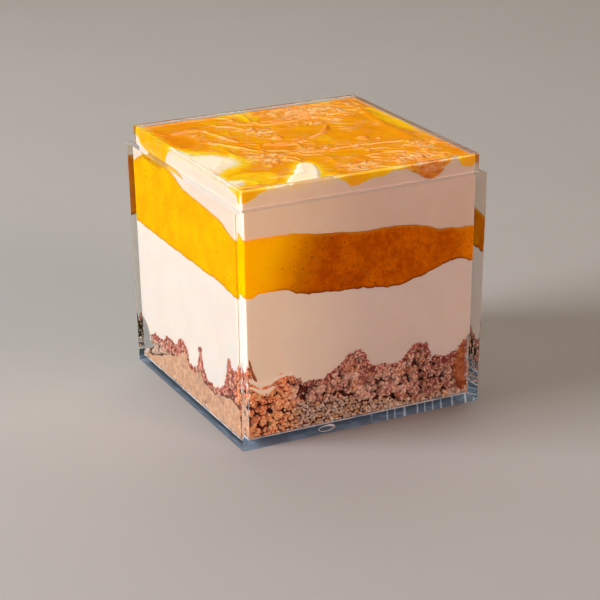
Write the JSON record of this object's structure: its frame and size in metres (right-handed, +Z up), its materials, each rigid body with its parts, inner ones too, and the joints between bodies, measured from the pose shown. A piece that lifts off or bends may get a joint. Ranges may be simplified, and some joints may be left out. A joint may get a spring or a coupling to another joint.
{
  "type": "layered cheesecake in a clear cup",
  "caption": "Layered mango cheesecake with a crumble base and a mango glaze, filled to the rim of a clear square cup with thick walls.",
  "frame": {"origin": "under the middle of the cup, on the surface it stands on", "axes": "+Z up; the cup's walls face -Y (front), +X, +Y and -X (left)"},
  "size_m": [0.065, 0.065, 0.063],
  "materials": {
    "clear_cup": "clear, polished",
    "crumble": "dry, crumbly",
    "cream": "smooth, satin",
    "mango": "moist",
    "glaze": "wet, glossy"
  },
  "bodies": {
    "root": {"cup": "clear_cup", "crumble_base": "crumble", "lower_cream": "cream", "mango_layer": "mango", "upper_cream": "cream", "mango_glaze": "glaze"}
  },
  "joints": []
}
